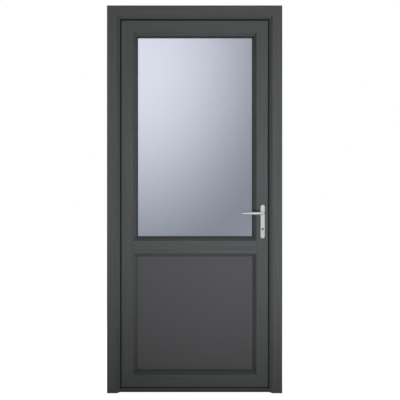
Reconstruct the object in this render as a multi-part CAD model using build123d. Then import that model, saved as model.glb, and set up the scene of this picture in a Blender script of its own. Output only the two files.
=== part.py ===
"""Half-glazed plastic entrance door in its frame, seen from outside.

The leaf opens inwards on three hinges. X runs to the right seen from outside, Y runs inwards, Z runs up.
The origin lies under the middle of the threshold. All sizes are in millimetres.
Every bar is an extruded section. A section point is its distance in from the outer edge and its depth Y,
and a third number where that corner is round.
"""
import os

from build123d import *

# Outer frame
FRAME_WIDTH = 945.0
FRAME_HEIGHT = 2090.0
FRAME_DEPTH = 70.0
FRAME_BODY = 46.0          # from the wall face to the floor of the rebate
FRAME_FLAT = 52.0          # flat outside face
FRAME_LIP = 68.0           # from the wall face to the nose of the outside lip
LIP_THICKNESS = 15.0
LIP_NOSE = 2.0             # square edge left at the nose under the slope

# Round edges of the bars
EDGE_ROUND = 1.5
SLOPE_ROUND = 2.0          # where the outside face of the frame turns into the slope of the lip
NOSE_ROUND = 0.8

# Leaf
LEAF_DEPTH = 70.0
LEAF_RECESS = 20.0         # outside face of the leaf behind the outside face of the frame
EDGE_GAP = 12.0            # between the rebate floor and the edge of the leaf
FLANGE_REACH = 20.0        # inside flange beyond the edge of the leaf
STILE_FLAT = 78.7          # from the edge of the leaf to the slope
BOTTOM_FLAT = 67.0         # the bottom rail has a lower section
BOTTOM_EDGE = 25.0         # edge of the bottom rail above the ground
SLOPE_RUN = 18.0
SLOPE_RISE = 20.0
SLOPE_NOSE = 2.0
PLATFORM_SETBACK = 22.0    # from the nose of the slope back to the glazing platform
GROOVE_WIDTH = 16.4        # hardware groove round the edge of the leaf
GROOVE_DEPTH = 3.0
GROOVE_CENTRE = 29.0       # from the outside face of the leaf
MID_RAIL_HEIGHT = 785.5    # centre line above the ground
MID_RAIL_FLAT = 69.0

# Glazing
GASKET_THICKNESS = 3.0
GASKET_COVER = 8.0         # gasket behind the nose
GLASS_GASKET_SHOW = 4.0    # gasket seen past the nose, round the glass
PANEL_GASKET_SHOW = 1.0    # gasket seen past the nose, round the panel
INSIDE_GASKET_SHOW = 1.0   # gasket seen past the beads
PANE_THICKNESS = 4.0
CAVITY = 20.0
SPACER_WIDTH = 10.0
SPACER_INSET = 4.0
INFILL_GAP = 5.0           # between the edge of the glass or panel and the platform
BEAD_SLOPE_RUN = 9.0
BEAD_SLOPE_RISE = 8.0

# Seals between leaf and frame
SEAL_CLEARANCE = 0.4
STOP_SEAL_INNER = 55.0     # from the wall face
STOP_SEAL_TIP = 75.5
STOP_SEAL_TIP_THICKNESS = 1.3
FLANGE_SEAL_INSET = 1.5
FLANGE_SEAL_WIDTH = 5.5
FLANGE_SEAL_GAP = 5.0      # between the inside face of the frame and the flange

# Threshold
THRESHOLD_HEIGHT = 20.0
THRESHOLD_BEVEL = 3.0
TREAD_GROOVES = 5
TREAD_GROOVE_WIDTH = 3.0
TREAD_GROOVE_DEPTH = 1.2

# Fixing holes through the jambs
FIXING_HOLE_RADIUS = 4.25
FIXING_COUNT = 4
FIXING_END = 190.0         # first and last hole from the ends of the jamb
HINGE_FIXING_DEPTH = 8.0   # Y of the hole axes in the hinge jamb
LOCK_FIXING_DEPTH = -8.0   # Y of the hole axes in the lock jamb, beside the keeps

# Hinges
HINGE_END = 250.0          # bottom and top hinge from the ends of the frame
HINGE_AXIS_IN = 28.0       # from the wall face
HINGE_AXIS_OFF = 10.0      # from the inside face of the frame
KNUCKLE_RADIUS = 8.5
KNUCKLE_LENGTH = 32.0
KNUCKLE_GAP = 0.5
KNUCKLE_WEB = 3.5          # thickness of what joins a knuckle to its plate
PIN_RADIUS = 4.0
PIN_CLEARANCE = 0.06
PIN_CAP_HEIGHT = 4.0
HINGE_PLATE_THICKNESS = 3.5
HINGE_PLATE_OUTER = 5.0    # from the wall face
HINGE_PLATE_NOTCH = 17.0   # the frame plate stops here beside the middle knuckle
FLAG_REACH = 60.0          # from the hinge axis
FLAG_HEIGHT = 70.0
ARM_FOOT = 4.0             # the arm of the flag lands this far past the edge of the flange
ARM_TOE = 1.0              # the arm leaves the knuckle this far short of the edge of the flange
HINGE_CORNER = 4.0         # round corners of plates and flags

# Lock
FACEPLATE_WIDTH = 16.0
FACEPLATE_FOOT = 330.0     # lower end above the ground
FACEPLATE_HEAD = 320.0     # upper end below the top of the frame
LATCH_SIZE = (11.0, 32.0)  # across the faceplate, along it
LATCH_BEVEL = 8.0
HOOK_END = 150.0           # hooks from the ends of the faceplate
HOOK_SIZE = (8.0, 56.0)
BOLT_LENGTH = 26.0
BOLT_CLEARANCE = 0.3
KEEP_THICKNESS = 3.5
KEEP_WIDTH = 22.0
KEEP_LENGTH = 190.0
HOOK_KEEP_LENGTH = 110.0
KEEP_SLOT_MARGIN = 3.0

# Handles
HANDLE_IN = 104.5          # spindle from the wall face
SPINDLE_HEIGHT = 970.0
KEY_DROP = 85.0            # cylinder below the spindle
PLATE_WIDTH = 26.0
PLATE_LENGTH = 185.0
PLATE_TOP = 47.0           # top of the plate above the spindle
PLATE_THICKNESS = 10.0
PLATE_ROUND = 4.0
NECK_RADIUS = 8.0
STEM_RADIUS = 7.0          # between the neck and the grip
COLLAR_LENGTH = 8.0        # neck seen outside the plate
NECK_CLEARANCE = 0.1
NECK_LENGTH = 30.0         # from the plate to the middle of the grip
NECK_INSERT = 6.0
GRIP_LENGTH = 119.0
GRIP_DEPTH = 12.0
GRIP_HEIGHT_HUB = 14.5
GRIP_HEIGHT_SWELL = 15.5
GRIP_HEIGHT_TIP = 10.0
GRIP_SWELL_AT = 42.0       # thickest place, from the spindle
GRIP_TIP_DROP = 1.0        # middle of the tip below the spindle
GRIP_ROUND = 4.6
SPINDLE_SIZE = 8.0
SPINDLE_CLEARANCE = 0.1
SPINDLE_INSERT = 22.0
SPINDLE_HOLE_RADIUS = 9.0
CYLINDER_RADIUS = 8.5
CYLINDER_TAIL = 10.0
CYLINDER_HEIGHT = 33.0
CYLINDER_PROUD = 1.0
CYLINDER_CLEARANCE = 0.2
KEYHOLE_RADIUS = 4.0
KEYHOLE_WAIST = 3.2        # half the width where the round hole turns into the slot
KEYHOLE_WAIST_DROP = 2.4
KEYHOLE_FOOT_RADIUS = 1.4
KEYHOLE_DROP = 8.5
KEYHOLE_DEPTH = 20.0

# Places that follow from the sizes above
FRAME_OUT = -FRAME_DEPTH / 2
FRAME_IN = FRAME_DEPTH / 2
LIP_BACK = FRAME_OUT + LIP_THICKNESS
LEAF_OUT = FRAME_OUT + LEAF_RECESS
LEAF_IN = LEAF_OUT + LEAF_DEPTH
LEAF_EDGE = FRAME_BODY + EDGE_GAP
FLANGE_TIP = LEAF_EDGE - FLANGE_REACH
FLANGE_OUT = FRAME_IN + FLANGE_SEAL_GAP
NOSE_BACK = LEAF_OUT + SLOPE_RISE + SLOPE_NOSE
STILE_SLOPE = LEAF_EDGE + STILE_FLAT
STILE_NOSE = STILE_SLOPE + SLOPE_RUN
STILE_PLATFORM = STILE_NOSE - PLATFORM_SETBACK
BOTTOM_SLOPE = BOTTOM_EDGE + BOTTOM_FLAT
BOTTOM_NOSE = BOTTOM_SLOPE + SLOPE_RUN
BOTTOM_PLATFORM = BOTTOM_NOSE - PLATFORM_SETBACK
TOP_PLATFORM = FRAME_HEIGHT - STILE_PLATFORM
MID_NOSE = MID_RAIL_FLAT / 2 + SLOPE_RUN
MID_PLATFORM = MID_NOSE - PLATFORM_SETBACK
INFILL_OUT = NOSE_BACK + GASKET_THICKNESS
INFILL_IN = INFILL_OUT + 2 * PANE_THICKNESS + CAVITY
BEAD_OUT = INFILL_IN + GASKET_THICKNESS
HALF_WIDTH = FRAME_WIDTH / 2
PLATFORM_X = HALF_WIDTH - STILE_PLATFORM
HANDLE_X = HALF_WIDTH - HANDLE_IN
HINGE_X = HINGE_AXIS_IN - HALF_WIDTH
HINGE_Y = FRAME_IN + HINGE_AXIS_OFF
HINGE_HEIGHTS = {"bottom": HINGE_END, "middle": FRAME_HEIGHT / 2, "top": FRAME_HEIGHT - HINGE_END}
KEY_HEIGHT = SPINDLE_HEIGHT - KEY_DROP
LATCH_HEIGHT = SPINDLE_HEIGHT
FACEPLATE_TOP = FRAME_HEIGHT - FACEPLATE_HEAD
HOOK_HEIGHTS = (FACEPLATE_FOOT + HOOK_END, FACEPLATE_TOP - HOOK_END)
GROOVE_Y = LEAF_OUT + GROOVE_CENTRE
MITRE_REACH = 200.0        # the mitre cuts of the frame run past every section
CORNER_REACH = 72.0        # the mitre cuts of the leaf run this far past the platform
MITRE_MARGIN = 20.0        # the mitre cuts run this far past the faces


# Ways to make a bar

def bar_face(outline):
    """The face inside an outline, with a round corner at every point that has a third number."""
    face = make_face(Polyline(*[point[:2] for point in outline], close=True))
    for x, y, radius in [point for point in outline if len(point) == 3]:
        corner = face.vertices().sort_by_distance((x, y))[0]
        face = fillet(corner, radius)
    return face


def upright(outline, low, high):
    """A bar along Z from an outline of (x, y) points."""
    return Pos(0, 0, low) * extrude(bar_face(outline), high - low)


def level(outline, left, right):
    """A bar along X from an outline of (y, z) points."""
    return Plane.YZ.offset(left) * extrude(bar_face(outline), right - left)


def slab(outline, y0, y1):
    """A plate across Y from an outline of (x, z) points."""
    face = make_face(Polyline(*outline, close=True))
    return Plane(origin=(0, y1, 0), x_dir=(1, 0, 0), z_dir=(0, -1, 0)) * extrude(face, y1 - y0)


def block(x0, x1, y0, y1, z0, z1):
    """A box between two corners."""
    centre = Pos((x0 + x1) / 2, (y0 + y1) / 2, (z0 + z1) / 2)
    return centre * Box(x1 - x0, y1 - y0, z1 - z0)


def rod(radius, x, z, y0, y1):
    """A round rod along Y."""
    return Pos(x, (y0 + y1) / 2, z) * Rot(90, 0, 0) * Cylinder(radius, y1 - y0)


def ring(outer, inner, y0, y1):
    """A rectangular ring across Y. Each rectangle is (x0, x1, z0, z1)."""
    full = block(outer[0], outer[1], y0, y1, outer[2], outer[3])
    hole = block(inner[0], inner[1], y0 - 1, y1 + 1, inner[2], inner[3])
    return full - hole


def left_side(section):
    """Section points turned into (x, y) for an upright on the left."""
    return [(u - HALF_WIDTH, *rest) for u, *rest in section]


def top_side(section):
    """Section points turned into (y, z) for a bar along the top."""
    return [(y, FRAME_HEIGHT - u, *rest) for u, y, *rest in section]


def bottom_side(section):
    """Section points turned into (y, z) for a bar along the bottom."""
    return [(y, u, *rest) for u, y, *rest in section]


def mitre_slab(points):
    """A plate with the outline that a mitred bar has seen from outside."""
    return slab(points, FRAME_OUT - MITRE_MARGIN, LEAF_IN + MITRE_MARGIN)


def mirrored(shape):
    """The same shape on the other side of the door."""
    return mirror(shape, about=Plane.YZ)


# Outer frame

def frame_section():
    """Box of the frame with the sloped lip outside."""
    return [
        (0, FRAME_OUT, EDGE_ROUND),
        (FRAME_FLAT, FRAME_OUT, SLOPE_ROUND),
        (FRAME_LIP, LIP_BACK - LIP_NOSE, NOSE_ROUND),
        (FRAME_LIP, LIP_BACK),
        (FRAME_BODY, LIP_BACK),
        (FRAME_BODY, FRAME_IN, EDGE_ROUND),
        (0, FRAME_IN, EDGE_ROUND),
    ]


def fixing_heights():
    """Heights of the fixing holes, evenly spread along a jamb."""
    pitch = (FRAME_HEIGHT - 2 * FIXING_END) / (FIXING_COUNT - 1)
    return [FIXING_END + pitch * i for i in range(FIXING_COUNT)]


def jamb_outline():
    """What the left jamb shows from outside: square at the foot and mitred at the head."""
    return [
        (-HALF_WIDTH, 0),
        (MITRE_REACH - HALF_WIDTH, 0),
        (MITRE_REACH - HALF_WIDTH, FRAME_HEIGHT - MITRE_REACH),
        (-HALF_WIDTH, FRAME_HEIGHT),
    ]


def head_outline():
    """What the head shows from outside: mitred at both ends."""
    return [
        (-HALF_WIDTH, FRAME_HEIGHT),
        (MITRE_REACH - HALF_WIDTH, FRAME_HEIGHT - MITRE_REACH),
        (HALF_WIDTH - MITRE_REACH, FRAME_HEIGHT - MITRE_REACH),
        (HALF_WIDTH, FRAME_HEIGHT),
    ]


def make_jamb(fixing_depth):
    """Left jamb with its fixing holes."""
    jamb = upright(left_side(frame_section()), 0, FRAME_HEIGHT) & mitre_slab(jamb_outline())
    for height in fixing_heights():
        hole = Rot(0, 90, 0) * Cylinder(FIXING_HOLE_RADIUS, FRAME_BODY + 2)
        jamb -= Pos(FRAME_BODY / 2 - HALF_WIDTH, fixing_depth, height) * hole
    return jamb


def make_head():
    """Head of the frame."""
    return level(top_side(frame_section()), -HALF_WIDTH, HALF_WIDTH) & mitre_slab(head_outline())


def make_threshold():
    """Low threshold between the jambs, from the back of the lip inwards, with grooves along its tread."""
    tread = LIP_BACK + THRESHOLD_BEVEL
    section = [
        (LIP_BACK, 0),
        (FRAME_IN, 0),
        (FRAME_IN, THRESHOLD_HEIGHT),
        (tread, THRESHOLD_HEIGHT),
        (LIP_BACK, THRESHOLD_HEIGHT - THRESHOLD_BEVEL),
    ]
    half = HALF_WIDTH - FRAME_BODY
    bar = level(section, -half, half)
    pitch = (FRAME_IN - tread) / (TREAD_GROOVES + 1)
    for i in range(TREAD_GROOVES):
        y = tread + pitch * (i + 1)
        bar -= block(-half, half, y - TREAD_GROOVE_WIDTH / 2, y + TREAD_GROOVE_WIDTH / 2,
                     THRESHOLD_HEIGHT - TREAD_GROOVE_DEPTH, THRESHOLD_HEIGHT)
    return bar


def make_stop_seal():
    """Seal between the back of the lip and the leaf, from the threshold up, along the head and down again."""
    back = LEAF_OUT - SEAL_CLEARANCE
    section = [
        (STOP_SEAL_INNER, LIP_BACK),
        (FRAME_LIP, LIP_BACK),
        (STOP_SEAL_TIP, back - STOP_SEAL_TIP_THICKNESS),
        (STOP_SEAL_TIP, back),
        (STOP_SEAL_INNER, back),
    ]
    side = upright(left_side(section), THRESHOLD_HEIGHT, FRAME_HEIGHT) & mitre_slab(jamb_outline())
    top = level(top_side(section), -HALF_WIDTH, HALF_WIDTH) & mitre_slab(head_outline())
    return side + top + mirrored(side)


# Leaf

def leaf_section(edge, flat):
    """Bar of the leaf: inside flange, hardware groove, outside slope and glazing platform."""
    nose = edge + flat + SLOPE_RUN
    platform = nose - PLATFORM_SETBACK
    return [
        (edge, LEAF_OUT, EDGE_ROUND),
        (edge + flat, LEAF_OUT),
        (nose, LEAF_OUT + SLOPE_RISE, NOSE_ROUND),
        (nose, NOSE_BACK),
        (platform, NOSE_BACK),
        (platform, LEAF_IN),
        (edge - FLANGE_REACH, LEAF_IN, EDGE_ROUND),
        (edge - FLANGE_REACH, FLANGE_OUT),
        (edge, FLANGE_OUT),
        (edge, GROOVE_Y + GROOVE_WIDTH / 2),
        (edge + GROOVE_DEPTH, GROOVE_Y + GROOVE_WIDTH / 2),
        (edge + GROOVE_DEPTH, GROOVE_Y - GROOVE_WIDTH / 2),
        (edge, GROOVE_Y - GROOVE_WIDTH / 2),
    ]


def bottom_corner(side):
    """The joint line of stile and bottom rail, from the flange to the glazing. Side is -1 or 1."""
    line = [
        (FLANGE_TIP, BOTTOM_EDGE - FLANGE_REACH),
        (LEAF_EDGE, BOTTOM_EDGE),
        (STILE_PLATFORM, BOTTOM_PLATFORM),
        (STILE_PLATFORM + CORNER_REACH, BOTTOM_PLATFORM + CORNER_REACH),
    ]
    return [(side * (HALF_WIDTH - u), z) for u, z in line]


def top_corner(side):
    """The mitre line of stile and top rail, from the glazing to the flange."""
    line = [
        (STILE_PLATFORM + CORNER_REACH, FRAME_HEIGHT - STILE_PLATFORM - CORNER_REACH),
        (FLANGE_TIP, FRAME_HEIGHT - FLANGE_TIP),
    ]
    return [(side * (HALF_WIDTH - u), z) for u, z in line]


def make_stile():
    """Left stile, mitred at both ends."""
    bar = upright(left_side(leaf_section(LEAF_EDGE, STILE_FLAT)), 0, FRAME_HEIGHT)
    return bar & mitre_slab(bottom_corner(-1) + top_corner(-1))


def make_top_rail():
    """Top rail of the leaf."""
    bar = level(top_side(leaf_section(LEAF_EDGE, STILE_FLAT)), -HALF_WIDTH, HALF_WIDTH)
    outline = top_corner(-1) + list(reversed(top_corner(1)))
    return bar & mitre_slab(outline)


def make_bottom_rail():
    """Bottom rail of the leaf."""
    bar = level(bottom_side(leaf_section(BOTTOM_EDGE, BOTTOM_FLAT)), -HALF_WIDTH, HALF_WIDTH)
    outline = bottom_corner(-1) + list(reversed(bottom_corner(1)))
    return bar & mitre_slab(outline)


def make_mid_rail(stiles):
    """Middle rail between glass and panel, its ends cut to lie over the slopes of the stiles."""
    half = [
        (LEAF_OUT, MID_RAIL_FLAT / 2),
        (LEAF_OUT + SLOPE_RISE, MID_NOSE, NOSE_ROUND),
        (NOSE_BACK, MID_NOSE),
        (NOSE_BACK, MID_PLATFORM),
        (LEAF_IN, MID_PLATFORM),
    ]
    upper = [(y, MID_RAIL_HEIGHT + z, *rest) for y, z, *rest in half]
    lower = [(y, MID_RAIL_HEIGHT - z, *rest) for y, z, *rest in reversed(half)]
    rail = level(upper + lower, -PLATFORM_X, PLATFORM_X)
    for stile in stiles:
        rail -= stile
    return rail


def make_flange_seal():
    """Seal on the inside flange, all round the leaf."""
    x = HALF_WIDTH - FLANGE_TIP - FLANGE_SEAL_INSET
    low = BOTTOM_EDGE - FLANGE_REACH + FLANGE_SEAL_INSET
    high = FRAME_HEIGHT - FLANGE_TIP - FLANGE_SEAL_INSET
    w = FLANGE_SEAL_WIDTH
    outer = (-x, x, low, high)
    inner = (w - x, x - w, low + w, high - w)
    return ring(outer, inner, FRAME_IN + SEAL_CLEARANCE, FLANGE_OUT)


# Glass, panel and beads

def glass_platform():
    """Low and high platform of the glazing in the upper opening."""
    return MID_RAIL_HEIGHT + MID_PLATFORM, TOP_PLATFORM


def panel_platform():
    """Low and high platform of the panel in the lower opening."""
    return BOTTOM_PLATFORM, MID_RAIL_HEIGHT - MID_PLATFORM


def infill(platform, y0, y1):
    """A plate that fills an opening up to the gap at its edges."""
    half = PLATFORM_X - INFILL_GAP
    return block(-half, half, y0, y1, platform[0] + INFILL_GAP, platform[1] - INFILL_GAP)


def make_spacer():
    """Spacer bar between the two panes."""
    low, high = glass_platform()
    x = PLATFORM_X - INFILL_GAP - SPACER_INSET
    z0 = low + INFILL_GAP + SPACER_INSET
    z1 = high - INFILL_GAP - SPACER_INSET
    w = SPACER_WIDTH
    y0 = INFILL_OUT + PANE_THICKNESS
    return ring((-x, x, z0, z1), (w - x, x - w, z0 + w, z1 - w), y0, y0 + CAVITY)


def make_gasket(platform, show, y0):
    """Flat gasket round an opening, behind the nose or in front of the beads."""
    nose = PLATFORM_SETBACK
    cover = nose - GASKET_COVER
    tip = nose + show
    low, high = platform
    outer = (cover - PLATFORM_X, PLATFORM_X - cover, low + cover, high - cover)
    inner = (tip - PLATFORM_X, PLATFORM_X - tip, low + tip, high - tip)
    return ring(outer, inner, y0, y0 + GASKET_THICKNESS)


def bead_section():
    """Glazing bead: distance from the platform, and depth."""
    return [
        (0, BEAD_OUT),
        (PLATFORM_SETBACK, BEAD_OUT),
        (PLATFORM_SETBACK, LEAF_IN - BEAD_SLOPE_RISE, EDGE_ROUND),
        (PLATFORM_SETBACK - BEAD_SLOPE_RUN, LEAF_IN, EDGE_ROUND),
        (0, LEAF_IN),
    ]


def make_beads(platform):
    """Four mitred beads round an opening, by side."""
    low, high = platform
    x, w = PLATFORM_X, PLATFORM_SETBACK
    left = upright([(s - x, *rest) for s, *rest in bead_section()], low, high)
    left = left & mitre_slab([(-x, low), (w - x, low + w), (w - x, high - w), (-x, high)])
    bottom = level([(y, low + s, *rest) for s, y, *rest in bead_section()], -x, x)
    bottom = bottom & mitre_slab([(-x, low), (w - x, low + w), (x - w, low + w), (x, low)])
    top = level([(y, high - s, *rest) for s, y, *rest in bead_section()], -x, x)
    top = top & mitre_slab([(-x, high), (w - x, high - w), (x - w, high - w), (x, high)])
    return {"hinge_side": left, "lock_side": mirrored(left), "bottom": bottom, "top": top}


# Hinges

def knuckle(low, high):
    """One knuckle with the bore for the pin."""
    height = high - low
    place = Pos(HINGE_X, HINGE_Y, (low + high) / 2)
    return place * (Cylinder(KNUCKLE_RADIUS, height) - Cylinder(PIN_RADIUS + PIN_CLEARANCE, height + 1))


def knuckle_levels(height):
    """The four levels between which the three knuckles of a hinge lie."""
    half = KNUCKLE_LENGTH / 2
    return height - 3 * half, height - half, height + half, height + 3 * half


def make_frame_hinge(height):
    """Plate on the inside face of the jamb with the two outer knuckles."""
    z0, z1, z2, z3 = knuckle_levels(height)
    face = FRAME_IN
    x0 = HINGE_PLATE_OUTER - HALF_WIDTH
    plate = block(x0, HINGE_X, face, face + HINGE_PLATE_THICKNESS, z0, z3)
    plate = fillet(plate.edges().filter_by(Axis.Y).group_by(Axis.X)[0], HINGE_CORNER)
    notch = HINGE_PLATE_NOTCH - HALF_WIDTH
    plate -= block(notch, HINGE_X, face, face + HINGE_PLATE_THICKNESS, z1, z2)
    web = HINGE_X - KNUCKLE_RADIUS
    lower = knuckle(z0, z1) + block(web, web + KNUCKLE_WEB, face, HINGE_Y, z0, z1)
    upper = knuckle(z2, z3) + block(web, web + KNUCKLE_WEB, face, HINGE_Y, z2, z3)
    return plate + lower + upper


def make_leaf_hinge(height):
    """Flag on the inside face of the leaf with the middle knuckle."""
    z0, z1, z2, z3 = knuckle_levels(height)
    low = z1 + KNUCKLE_GAP
    high = z2 - KNUCKLE_GAP
    barrel = knuckle(low, high)
    back = LEAF_IN
    front = LEAF_IN + HINGE_PLATE_THICKNESS
    flange_x = FLANGE_TIP - HALF_WIDTH
    arm_outline = [
        (HINGE_X, HINGE_Y + KNUCKLE_RADIUS - KNUCKLE_WEB),
        (flange_x - ARM_TOE, back),
        (flange_x + ARM_FOOT, back),
        (flange_x + ARM_FOOT, front),
        (flange_x, front),
        (HINGE_X, HINGE_Y + KNUCKLE_RADIUS),
    ]
    arm = upright(arm_outline, low, high)
    half = FLAG_HEIGHT / 2
    flag = block(flange_x + ARM_FOOT / 2, HINGE_X + FLAG_REACH, back, front, height - half, height + half)
    flag = fillet(flag.edges().filter_by(Axis.Y), HINGE_CORNER)
    return barrel + arm + flag


def make_pin(height):
    """Hinge pin with a cap at each end."""
    z0, z1, z2, z3 = knuckle_levels(height)
    shank = Pos(HINGE_X, HINGE_Y, (z0 + z3) / 2) * Cylinder(PIN_RADIUS, z3 - z0)
    cap = Cylinder(KNUCKLE_RADIUS, PIN_CAP_HEIGHT)
    cap = chamfer(cap.edges().group_by(Axis.Z)[-1], PIN_CAP_HEIGHT / 3)
    top = Pos(HINGE_X, HINGE_Y, z3 + PIN_CAP_HEIGHT / 2) * cap
    bottom = Pos(HINGE_X, HINGE_Y, z0 - PIN_CAP_HEIGHT / 2) * Rot(180, 0, 0) * cap
    return shank + top + bottom


# Lock

def edge_box(width, length, height, depth0, depth1):
    """A box in the edge of the lock stile, between two depths from that edge."""
    x = HALF_WIDTH - LEAF_EDGE
    return block(x - depth1, x - depth0, GROOVE_Y - width / 2, GROOVE_Y + width / 2,
                 height - length / 2, height + length / 2)


def bolts():
    """Height and size of every bolt of the lock."""
    return [(LATCH_HEIGHT, LATCH_SIZE)] + [(height, HOOK_SIZE) for height in HOOK_HEIGHTS]


def make_faceplate():
    """Faceplate in the hardware groove, with a slot for every bolt."""
    middle = (FACEPLATE_FOOT + FACEPLATE_TOP) / 2
    plate = edge_box(FACEPLATE_WIDTH, FACEPLATE_TOP - FACEPLATE_FOOT, middle, 0, GROOVE_DEPTH)
    for height, (width, length) in bolts():
        gap = 2 * BOLT_CLEARANCE
        plate -= edge_box(width + gap, length + gap, height, 0, GROOVE_DEPTH)
    return plate


def make_bolt(height, size):
    """One bolt drawn back level with the faceplate."""
    return edge_box(size[0], size[1], height, 0, BOLT_LENGTH)


def make_latch():
    """Latch bolt, bevelled on the side that meets the keep first."""
    latch = make_bolt(LATCH_HEIGHT, LATCH_SIZE)
    edge = latch.edges().filter_by(Axis.Z).group_by(Axis.X)[-1].sort_by(Axis.Y)[0]
    return chamfer(edge, LATCH_BEVEL)


def make_keep(length, slots):
    """Keep on the rebate floor of the lock jamb, with a slot for every bolt."""
    x = HALF_WIDTH - FRAME_BODY
    centre = slots[0][0]
    keep = block(x - KEEP_THICKNESS, x, GROOVE_Y - KEEP_WIDTH / 2, GROOVE_Y + KEEP_WIDTH / 2,
                 centre - length / 2, centre + length / 2)
    for height, (width, slot_length) in slots:
        w = width / 2 + KEEP_SLOT_MARGIN
        h = slot_length / 2 + KEEP_SLOT_MARGIN
        keep -= block(x - KEEP_THICKNESS, x, GROOVE_Y - w, GROOVE_Y + w, height - h, height + h)
    return keep


# Handles

def cylinder_outline(clearance, y0, y1):
    """Round barrel and tail of the key cylinder."""
    r = CYLINDER_RADIUS + clearance
    tail = CYLINDER_TAIL / 2 + clearance
    foot = KEY_HEIGHT + CYLINDER_RADIUS - CYLINDER_HEIGHT - clearance
    barrel = rod(r, HANDLE_X, KEY_HEIGHT, y0, y1)
    lower = block(HANDLE_X - tail, HANDLE_X + tail, y0, y1, foot + tail, KEY_HEIGHT)
    end = rod(tail, HANDLE_X, foot + tail, y0, y1)
    return barrel + lower + end


def handle_holes(neck_y0, neck_y1):
    """What passes through a back plate: the neck of the lever and the key cylinder."""
    neck = rod(NECK_RADIUS + NECK_CLEARANCE, HANDLE_X, SPINDLE_HEIGHT, neck_y0, neck_y1)
    return neck + cylinder_outline(CYLINDER_CLEARANCE, neck_y0, neck_y1)


def make_backplate():
    """Outside back plate with round ends and a rounded rim."""
    r = PLATE_WIDTH / 2
    high = SPINDLE_HEIGHT + PLATE_TOP - r
    low = SPINDLE_HEIGHT + PLATE_TOP - PLATE_LENGTH + r
    y0, y1 = LEAF_OUT - PLATE_THICKNESS, LEAF_OUT
    plate = block(HANDLE_X - r, HANDLE_X + r, y0, y1, low, high)
    plate += rod(r, HANDLE_X, high, y0, y1) + rod(r, HANDLE_X, low, y0, y1)
    plate = fillet(plate.edges().group_by(Axis.Y)[0], PLATE_ROUND)
    return plate - handle_holes(y0 - 1, y1 + 1)


def make_lever():
    """Outside lever: a grip that swells near the hub, on a round neck with a square socket."""
    plate_y = LEAF_OUT - PLATE_THICKNESS
    grip_y = plate_y - NECK_LENGTH
    hub, swell, tip = GRIP_HEIGHT_HUB / 2, GRIP_HEIGHT_SWELL / 2, GRIP_HEIGHT_TIP / 2
    tip_x = tip - GRIP_LENGTH
    tip_high, tip_low = tip - GRIP_TIP_DROP, -tip - GRIP_TIP_DROP
    upper_edge = Spline((0, hub), (-GRIP_SWELL_AT, swell), (tip_x, tip_high))
    lower_edge = Spline((tip_x, tip_low), (-GRIP_SWELL_AT, -swell), (0, -hub))
    tip_end = ThreePointArc((tip_x, tip_high), (-GRIP_LENGTH, -GRIP_TIP_DROP), (tip_x, tip_low))
    hub_end = ThreePointArc((0, -hub), (hub, 0), (0, hub))
    face = make_face(upper_edge + tip_end + lower_edge + hub_end)
    plane = Plane(origin=(HANDLE_X, grip_y + GRIP_DEPTH / 2, SPINDLE_HEIGHT), x_dir=(1, 0, 0), z_dir=(0, -1, 0))
    grip = plane * extrude(face, GRIP_DEPTH)
    grip = fillet(grip.edges(), GRIP_ROUND)
    neck_end = plate_y + NECK_INSERT
    lever = grip + rod(STEM_RADIUS, HANDLE_X, SPINDLE_HEIGHT, grip_y, neck_end)
    lever += rod(NECK_RADIUS, HANDLE_X, SPINDLE_HEIGHT, plate_y - COLLAR_LENGTH, neck_end)
    half = SPINDLE_SIZE / 2 + SPINDLE_CLEARANCE
    socket = block(HANDLE_X - half, HANDLE_X + half, neck_end - SPINDLE_INSERT, neck_end + 1,
                   SPINDLE_HEIGHT - half, SPINDLE_HEIGHT + half)
    return lever - socket


def inside_copy(shape):
    """The same handle piece on the inside face of the leaf."""
    middle = (LEAF_OUT + LEAF_IN) / 2
    return mirror(shape, about=Plane(origin=(0, middle, 0), z_dir=(0, 1, 0)))


def make_spindle():
    """Square spindle between the sockets of the two levers."""
    half = SPINDLE_SIZE / 2
    reach = PLATE_THICKNESS - NECK_INSERT + SPINDLE_INSERT
    return block(HANDLE_X - half, HANDLE_X + half, LEAF_OUT - reach, LEAF_IN + reach,
                 SPINDLE_HEIGHT - half, SPINDLE_HEIGHT + half)


def make_cylinder():
    """Key cylinder through the stile and both plates, with a keyhole in each end."""
    reach = PLATE_THICKNESS + CYLINDER_PROUD
    y0, y1 = LEAF_OUT - reach, LEAF_IN + reach
    body = cylinder_outline(0, y0, y1)
    for start, end in ((y0, y0 + KEYHOLE_DEPTH), (y1 - KEYHOLE_DEPTH, y1)):
        body -= rod(KEYHOLE_RADIUS, HANDLE_X, KEY_HEIGHT, start, end)
        body -= slab([
            (HANDLE_X - KEYHOLE_WAIST, KEY_HEIGHT - KEYHOLE_WAIST_DROP),
            (HANDLE_X + KEYHOLE_WAIST, KEY_HEIGHT - KEYHOLE_WAIST_DROP),
            (HANDLE_X + KEYHOLE_FOOT_RADIUS, KEY_HEIGHT - KEYHOLE_DROP),
            (HANDLE_X - KEYHOLE_FOOT_RADIUS, KEY_HEIGHT - KEYHOLE_DROP),
        ], start, end)
        body -= rod(KEYHOLE_FOOT_RADIUS, HANDLE_X, KEY_HEIGHT - KEYHOLE_DROP, start, end)
    return body


def make_lock_stile(stile):
    """Lock stile: the other stile mirrored, with holes for spindle, cylinder and bolts."""
    lock_stile = mirrored(stile)
    lock_stile -= rod(SPINDLE_HOLE_RADIUS, HANDLE_X, SPINDLE_HEIGHT, LEAF_OUT - 1, LEAF_IN + 1)
    lock_stile -= cylinder_outline(CYLINDER_CLEARANCE, LEAF_OUT - 1, LEAF_IN + 1)
    for height, (width, length) in bolts():
        gap = 2 * BOLT_CLEARANCE
        lock_stile -= edge_box(width + gap, length + gap, height, 0, BOLT_LENGTH)
    return lock_stile


# All the pieces by name

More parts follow.
